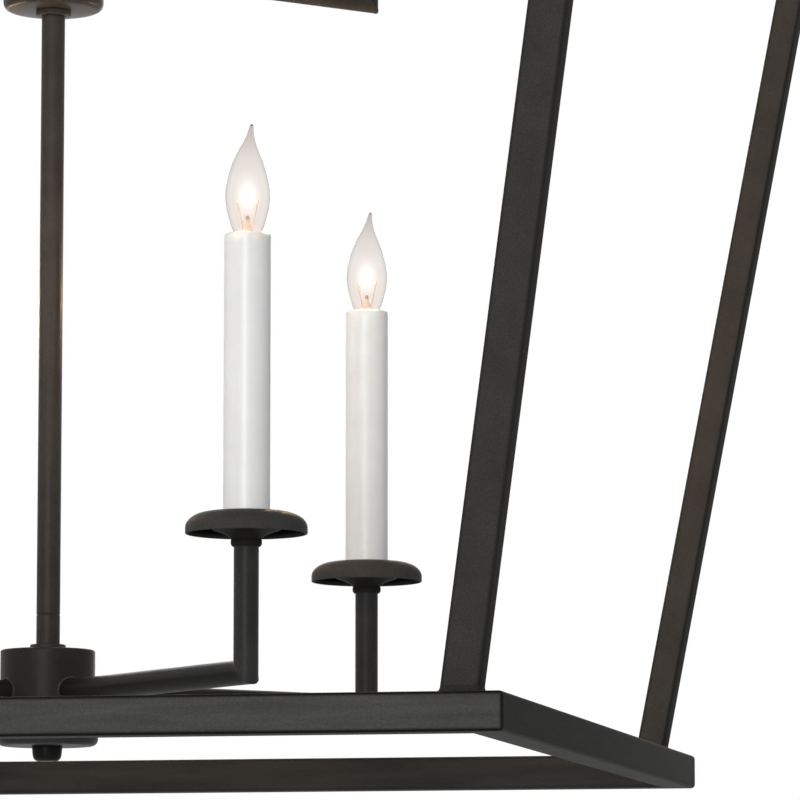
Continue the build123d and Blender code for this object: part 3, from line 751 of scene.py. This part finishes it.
# Stem tubes, the lower one with its joint above the hub
for name, node, low, high, seam in (
        ("lower_stem_tube", "lower_stem", LOWER_AXIS + HUB_TOP + WASHER_HEIGHT,
         UPPER_AXIS - HUB_BOTTOM - RING_HEIGHT, STEM_SEAM),
        ("upper_stem_tube", "upper_stem", UPPER_AXIS + HUB_TOP + WASHER_HEIGHT, STEM_TOP, None)):
    profile = [(STEM_RADIUS - 0.5, low, 0.0), (STEM_RADIUS, low + STEM_EDGE, STEM_EDGE)]
    if seam is not None:
        middle = low + seam
        profile += [(STEM_RADIUS, middle - SEAM_HALF, SEAM_ROUND),
                    (STEM_RADIUS - SEAM_DEPTH, middle - SEAM_FLOOR_HALF, 0.0),
                    (STEM_RADIUS - SEAM_DEPTH, middle + SEAM_FLOOR_HALF, 0.0),
                    (STEM_RADIUS, middle + SEAM_HALF, SEAM_ROUND)]
    profile += [(STEM_RADIUS, high - STEM_EDGE, STEM_EDGE), (STEM_RADIUS - 0.5, high, 0.0)]
    add_piece(name, *turned(profile), iron, "lantern", [node])

# Hubs with their covers and the rims round their arms; painted shade darkens the lower hub body, and the
# upper one is left lighter as if lit by the bulbs below
for tier, axis in (("lower", LOWER_AXIS), ("upper", UPPER_AXIS)):
    cover_floor = COVER_WALL - HUB_BOTTOM
    body = [(HIDDEN_RADIUS, HUB_TOP, 0.0), (HUB_RADIUS, HUB_TOP, HUB_EDGE), (HUB_RADIUS, cover_floor, 0.4),
            (HIDDEN_RADIUS, cover_floor, 0.0)]
    hub_mesh = turned(body, axis, 120)
    add_piece(f"{tier}_hub_body", *hub_mesh, iron, "lantern", [f"{tier}_hub"],
              marks=even_shade(hub_mesh, HUB_SHADES[tier]))
    skirt_top = COVER_SKIRT - HUB_BOTTOM
    cover_bore = COVER_RADIUS - COVER_WALL
    cover = [(HIDDEN_RADIUS, -HUB_BOTTOM, 0.0), (COVER_RADIUS, -HUB_BOTTOM, COVER_EDGE),
             (COVER_RADIUS, skirt_top, 0.5), (cover_bore, skirt_top, 0.4),
             (cover_bore, skirt_top - COVER_LAP, 0.0)]
    add_piece(f"{tier}_cover", *turned(cover, axis, 120), iron, "lantern", [f"{tier}_hub_cover"])
    rims = []
    for turn_angle in TURNS:
        turn = turn_by(turn_angle)
        loop = []
        for step in range(48):
            angle = 2 * math.pi * step / 48
            y = RIM_RADIUS * math.cos(angle)
            x = math.sqrt(HUB_RADIUS ** 2 - y * y)
            loop.append(tuple(turn @ Vector((x, y, axis + RIM_RADIUS * math.sin(angle)))))
        rims.append(round_rod(loop, RIM_BEAD, 10, True))
    add_piece(f"{tier}_hub_rims", *join_shapes(rims), iron, "lantern", sharp=60.0)

# Washers, ring and finial, the finial darkened with painted shade
washer_top = HUB_TOP + WASHER_HEIGHT
washer = [(HIDDEN_RADIUS, HUB_TOP, 0.0), (WASHER_RADIUS, HUB_TOP, 0.4),
          (WASHER_RADIUS, washer_top, COLLAR_EDGE), (6.2, washer_top, 0.0)]
washers = [turned(washer, axis, 64) for axis in (LOWER_AXIS, UPPER_AXIS)]
add_piece("washers", *join_shapes(washers), iron, "lantern", ["stem_washers"])
ring = [(6.0, 0.0, 0.0), (WASHER_RADIUS, 0.0, COLLAR_EDGE), (WASHER_RADIUS, RING_HEIGHT, COLLAR_EDGE),
        (6.0, RING_HEIGHT, 0.0)]
ring_mesh = turned(ring, UPPER_AXIS - HUB_BOTTOM - RING_HEIGHT)
add_piece("collar_ring", *ring_mesh, iron, "lantern", ["hub_ring"])
knob = [(HIDDEN_RADIUS, 0.0, 0.0), (FINIAL_RADIUS, 0.0, 0.4),
        (FINIAL_DOME_RADIUS, -FINIAL_HEIGHT, FINIAL_ROUND), (0.02, -FINIAL_HEIGHT, 0.0)]
finial_mesh = turned(knob, LOWER_AXIS - HUB_BOTTOM - FINIAL_GAP)
add_piece("finial_dome", *finial_mesh, iron, "finial", ["finial"],
          marks=even_shade(finial_mesh, FINIAL_SHADE))


# Arms: tube, mitred elbow with its ground weld, riser; painted shade darkens the lower arms' runs and the
# elbows, the upper arms are left lighter as if lit by the bulbs below
ARM_STAGES = [("entry", ARM_ENTRY, 0.0), ("arm", -MITRE_FLANK, 0.0), ("arm", -MITRE_HALF, 0.0),
              ("riser", 0.0, MITRE_SWELL), ("riser", MITRE_HALF, 0.0), ("riser", MITRE_FLANK, 0.0),
              ("end", PAN_TOP + RISER_OVER_PAN, 0.0)]


def arm_tube(turn, axis):
    """One arm from the hub to the pan; each stage is a ring, the riser's first one being the mitre."""
    vertices = []
    for kind, place, swell in ARM_STAGES:
        for index in range(ARM_SIDES):
            angle = 2 * math.pi * index / ARM_SIDES
            radius = ARM_RADIUS + swell
            y, h = radius * math.cos(angle), radius * math.sin(angle)
            if kind == "entry":
                point = (place, y, h)
            elif kind == "arm":
                point = (ARM_REACH - h + place, y, h)
            elif kind == "riser":
                point = (ARM_REACH - h, y, h + place)
            else:
                point = (ARM_REACH - h, y, place)
            vertices.append(tuple(turn @ Vector(point) + Vector((0, 0, axis))))
    return vertices, ring_faces(len(ARM_STAGES), ARM_SIDES)


arms, arm_shade = [], []
for axis, flat_shade in ((LOWER_AXIS, LOWER_ARM_SHADE), (UPPER_AXIS, UPPER_ARM_SHADE)):
    for turn_angle in TURNS:
        arms.append(arm_tube(turn_by(turn_angle), axis))
        for stage_shade in [flat_shade] * 3 + [MITRE_SHADE] + [RISER_SHADE] * 3:
            arm_shade += [stage_shade] * ARM_SIDES
add_piece("arm_tubes", *join_shapes(arms), iron, "lantern", ["arms"], marks={"shade": arm_shade}, sharp=40.0)

# Drip pans, painted dark inside their turned-down hollow as painted shade
candles = []
for axis in (LOWER_AXIS, UPPER_AXIS):
    for turn_angle in TURNS:
        angle = math.radians(turn_angle)
        candles.append((ARM_REACH * math.cos(angle), ARM_REACH * math.sin(angle), axis))
inside_radius = PAN_RADIUS - PAN_WALL
pan_points = softened([(PAN_HOLE, PAN_TOP, 0.0), (PAN_FLAT_RADIUS, PAN_TOP, 2.0), (19.5, PAN_TOP, 0.0)])[:-1]
for step in range(CURVE_STEPS + 1):
    angle = math.radians(90 - 90 * step / CURVE_STEPS)
    pan_points.append((PAN_FLAT_RADIUS + (PAN_RADIUS - PAN_FLAT_RADIUS) * math.cos(angle),
                       PAN_BEND + (PAN_TOP - PAN_BEND) * math.sin(angle)))
pan_points += softened([(PAN_RADIUS, PAN_BEND - 0.5, 0.0), (PAN_RADIUS, PAN_RIM, 0.55),
                        (inside_radius, PAN_RIM, 0.5), (inside_radius, PAN_BEND, 0.0)])
inside_start = len(pan_points) - 1
for step in range(CURVE_STEPS + 1):
    angle = math.radians(90 * step / CURVE_STEPS)
    pan_points.append((PAN_FLAT_RADIUS + (inside_radius - PAN_FLAT_RADIUS) * math.cos(angle),
                       PAN_BEND + (PAN_TOP - PAN_WALL - PAN_BEND) * math.sin(angle)))
pan_points.append((PAN_HOLE, PAN_TOP - PAN_WALL))
pan_mesh = lathe(pan_points, PAN_SIDES)
pan_shade = []
for index in range(len(pan_points)):
    pan_shade += [PAN_SHADE if index < inside_start else PAN_INSIDE_SHADE] * PAN_SIDES
pans = join_shapes([moved(pan_mesh, place) for place in candles])
add_piece("pans", *pans, pan_coat_painted_light, "lantern", ["drip_pans"], marks={"shade": pan_shade * len(candles)})

# Cups under the pans, each with a foot, a neck and a trumpet-shaped flare, darkened with painted shade
cup_points = softened([(6.5, 63.1, 0.0), (7.1, 63.1, 0.3), (7.9, 64.2, 0.6), (7.9, 66.0, 0.6),
                       (CUP_NECK_RADIUS, CUP_NECK_TOP, 0.25)])
for step in range(1, CURVE_STEPS + 1):
    share = step / CURVE_STEPS
    cup_points.append((CUP_NECK_RADIUS + CUP_FLARE * share ** CUP_FLARE_BEND,
                       CUP_NECK_TOP + CUP_FLARE_RISE * share ** CUP_RISE_BEND))
cup_points += softened([(16.9, 71.4, 0.0), (17.3, 71.6, 0.2), (17.3, 73.6, 0.5), (16.6, 79.3, 0.0)])
cup_mesh = lathe(cup_points)
cups = join_shapes([moved(cup_mesh, place) for place in candles])
add_piece("cups", *cups, pan_coat_painted_light, "lantern", ["candle_cups"], marks=even_shade(cups, CUP_SHADE))

# Sleeve
sleeve_mesh = turned([(SLEEVE_BORE, SLEEVE_FOOT, 0.3), (SLEEVE_RADIUS, SLEEVE_FOOT, 0.35),
                      (SLEEVE_RADIUS, SLEEVE_TOP, 1.3), (SLEEVE_BORE, SLEEVE_TOP, 0.25)],
                     segments=96, closed=True)

# Bulb glass; each row is radius, height over the sleeve and how far the tip bends sideways
flame = [(6.0, -BULB_SINK, 0.0), (6.7, 0.0, 0.0), (8.2, 3.5, 0.0), (9.45, 7.5, 0.0), (10.8, 12.5, 0.0),
         (11.5, 17.9, 0.0), (11.35, 23.0, 0.0), (10.35, 28.1, 0.0), (9.3, 32.2, 0.0), (8.16, 35.8, 0.05),
         (6.85, 39.0, 0.1), (5.6, 41.9, 0.2), (4.5, 44.2, 0.4), (3.5, 46.2, 0.7), (2.55, 48.8, 1.0),
         (1.8, 51.1, 1.3), (1.3, 53.6, 1.6), (1.05, 55.4, 1.9), (0.6, 56.3, 1.97),
         (CLOSED_RADIUS, BULB_HEIGHT, 1.98)]
glass_points = [(CLOSED_RADIUS, CAP_TOP)] + [(radius, SLEEVE_TOP + height) for radius, height, bend in flame]
glass_mesh = lathe(glass_points, 64, bends=[0.0] + [bend for radius, height, bend in flame])
rise = [max(height - SLEEVE_TOP, 0.0) / BULB_HEIGHT for x, y, height in glass_mesh[0]]
tip_points = [(CLOSED_RADIUS, 56.6), (0.4, 56.45), (0.62, 56.2), (0.72, 55.9), (0.6, 55.7)]
tip = lathe([(radius, SLEEVE_TOP + height) for radius, height in tip_points], 24,
            bends=[1.98, 1.97, 1.93, 1.89, 1.85])

# Bulb cap, glass stem, support wires and filament, with heights over the cap
contact = [(CLOSED_RADIUS, -14.7, 0.0), (3.0, -14.7, 0.8), (4.95, -CAP_LENGTH, 0.3), (5.5, -12.4, 0.0)]
cap = join_shapes([threaded_cap(CAP_TOP - CAP_LENGTH, CAP_TOP), turned(contact, CAP_TOP, 48)])
press = turned([(3.4, 0.0, 0.0), (2.9, 2.5, 1.0), (2.3, 5.0, 1.0), (1.3, 7.0, 1.0), (0.9, 9.2, 0.5),
                (CLOSED_RADIUS, 9.6, 0.0)], CAP_TOP, 40)
bead_points = []
for degrees in range(0, 181, 15):
    angle = math.radians(degrees)
    bead_points.append((max(math.sin(angle), 0.02), CAP_TOP + 9.8 - 1.5 * math.cos(angle)))
bead = lathe(bead_points, 32)
wire_run = [(1.6, 2.0), (2.3, 4.5), (3.4, 10.0), (4.7, 16.0), (5.3, 18.2), (5.1, 18.7), (4.7, 18.4)]
wires = join_shapes([round_rod([(side * x, 0, CAP_TOP + height) for x, height in wire_run], WIRE_RADIUS, 10)
                     for side in (1, -1)])
coil_path = []
for step in range(COIL_STEPS + 1):
    share = step / COIL_STEPS
    angle = 2 * math.pi * COIL_TURNS * share
    height = CAP_TOP + COIL_RISE + COIL_ARCH * math.sin(math.pi * share)
    coil_path.append((COIL_HALF * (2 * share - 1), COIL_RADIUS * math.cos(angle),
                      height + COIL_RADIUS * math.sin(angle)))
coil = round_rod(coil_path, COIL_WIRE, 6)

bulb_parts = (("press", press, stem_glass_painted_warm), ("bead", bead, seal), ("wires", wires, wire_metal_painted_warm),
              ("coil", coil, filament), ("tip", tip, seal))
for number, place in enumerate(candles, start=1):
    add_piece(f"sleeve_{number}", *moved(sleeve_mesh, place), white, f"sleeve_{number}",
              [f"candle_sleeve_{number}"], "sleeve_white", sharp=50.0)
    add_piece(f"flame_{number}", *moved(glass_mesh, place), glass, f"bulb_{number}",
              [f"bulb_glass_{number}"], "bulb_glass", marks={"rise": rise}, sharp=70.0)
    add_piece(f"cap_{number}", *moved(cap, place), cap_metal, f"bulb_{number}",
              [f"bulb_base_{number}"], "bulb_cap", sharp=50.0)
    for name, shape, material in bulb_parts:
        add_piece(f"{name}_{number}", *moved(shape, place), material, f"bulb_{number}", slot="bulb_cap")

# Light of each bulb: warm on the ironwork, paler on the sleeves, none on what is inside the glass, where the
# glass stem and wires carry painted warm light instead
unlit = bpy.data.collections.new("out_of_bulb_light")
sleeves = bpy.data.collections.new("sleeves")
for number in CANDLE_NUMBERS:
    for name in ("press", "bead", "wires", "coil", "tip", "sleeve"):
        unlit.objects.link(bpy.data.objects[f"{name}_{number}"])
    sleeves.objects.link(bpy.data.objects[f"sleeve_{number}"])
for member in unlit.collection_objects:
    member.light_linking.link_state = "EXCLUDE"
for kind, receivers, energy, colour in (("bulb_light", unlit, 1.3, (1.0, 0.66, 0.38)),
                                        ("sleeve_light", sleeves, 0.6, (1.0, 0.86, 0.74))):
    for number, (x, y, axis) in enumerate(candles, start=1):
        bulb_light = bpy.data.lights.new(f"{kind}_{number}", "POINT")
        bulb_light.energy = energy
        bulb_light.color = colour
        bulb_light.shadow_soft_size = 0.004
        lamp = bpy.data.objects.new(f"{kind}_{number}", bulb_light)
        lamp.location = Vector((x, y, axis + SLEEVE_TOP + FILAMENT_HEIGHT)) * MM
        lamp.visible_camera = False
        lamp.visible_transmission = False
        lamp.visible_glossy = receivers is unlit
        lamp.light_linking.receiver_collection = receivers
        bpy.context.collection.objects.link(lamp)

# Camera
camera_data = bpy.data.cameras.new("camera")
camera_data.lens = 222.93
camera_data.sensor_width = 36.0
camera_data.clip_end = 100.0
camera = bpy.data.objects.new("camera", camera_data)
camera.location = Vector((725.0, -2557.0, -1410.6)) * MM
camera.rotation_euler = Euler((math.radians(97.03), 0.0, math.radians(11.76)))
bpy.context.collection.objects.link(camera)
bpy.context.scene.camera = camera
bpy.context.scene.view_settings.view_transform = "Standard"

# Background, white where it is looked at and dimmer in the light that it gives
world = bpy.data.worlds.new("studio")
world.use_nodes = True
bpy.context.scene.world = world
sky, sky_links = world.node_tree.nodes, world.node_tree.links
strength = sky.new("ShaderNodeMapRange")
set_inputs(strength, {"To Min": WORLD_LIGHT, "To Max": WORLD_SEEN})
sky_links.new(seen_rays(sky, sky_links), strength.inputs["Value"])
set_inputs(sky["Background"], {"Color": (1.0, 1.0, 1.0, 1.0)})
sky_links.new(strength.outputs["Result"], sky["Background"].inputs["Strength"])

# Lights, in metres and watts


def area_light(name, place, target, size, power):
    light = bpy.data.lights.new(name, "AREA")
    light.shape = "RECTANGLE"
    light.size, light.size_y = size
    light.energy = power
    lamp = bpy.data.objects.new(name, light)
    lamp.location = place
    lamp.rotation_euler = (Vector(target) - Vector(place)).to_track_quat("-Z", "Y").to_euler()
    lamp.visible_camera = False
    lamp.visible_transmission = False
    bpy.context.collection.objects.link(lamp)


area_light("key", (0.2, -3.4, -0.8), (0.0, 0.0, -1.0), (1.2, 2.0), 72.0)
area_light("fill_right", (3.2, 1.0, -0.3), (0.0, 0.0, -0.8), (1.6, 2.2), 1.5)
area_light("fill_left", (-3.2, -0.6, -0.3), (0.0, 0.0, -0.8), (1.6, 2.2), 6.0)
area_light("back", (-0.7, 3.4, -0.2), (0.0, 0.0, -0.8), (2.2, 2.2), 36.0)
area_light("under", (0.2, -0.5, -3.9), (0.1, 0.0, -1.2), (2.0, 2.0), 9.0)

# Floor, a pale disc that glows where it is looked at and isn't seen from beneath
floor_points = []
for degrees in range(0, 360, 5):
    angle = math.radians(degrees)
    floor_points.append((FLOOR_RADIUS * math.cos(angle), FLOOR_RADIUS * math.sin(angle), FLOOR_HEIGHT))
floor_mesh = bpy.data.meshes.new("floor")
floor_mesh.from_pydata(floor_points, [], [tuple(range(len(floor_points)))])
floor = bpy.data.objects.new("floor", floor_mesh)
bpy.context.collection.objects.link(floor)
floor_paint, floor_nodes, floor_links, floor_shader = new_material("floor_paint")
floor_cloud = noise_node(floor_nodes, floor_links, 1.5)
floor_links.new(ramp(floor_nodes, floor_links, floor_cloud, [(0.3, grey(0.80)), (0.7, grey(0.84))]),
                floor_shader.inputs["Base Color"])
set_inputs(floor_shader, {"Roughness": 0.8, "Emission Color": (1.0, 1.0, 1.0, 1.0)})
floor_glow = floor_nodes.new("ShaderNodeMath")
floor_glow.operation = "MULTIPLY"
floor_glow.inputs[1].default_value = FLOOR_GLOW
floor_links.new(seen_rays(floor_nodes, floor_links), floor_glow.inputs[0])
floor_links.new(floor_glow.outputs[0], floor_shader.inputs["Emission Strength"])
floor_side = floor_nodes.new("ShaderNodeNewGeometry")
floor_open = floor_nodes.new("ShaderNodeBsdfTransparent")
choose_surface(floor_nodes, floor_links, floor_side.outputs["Backfacing"], floor_shader, floor_open)
floor_mesh.materials.append(floor_paint)
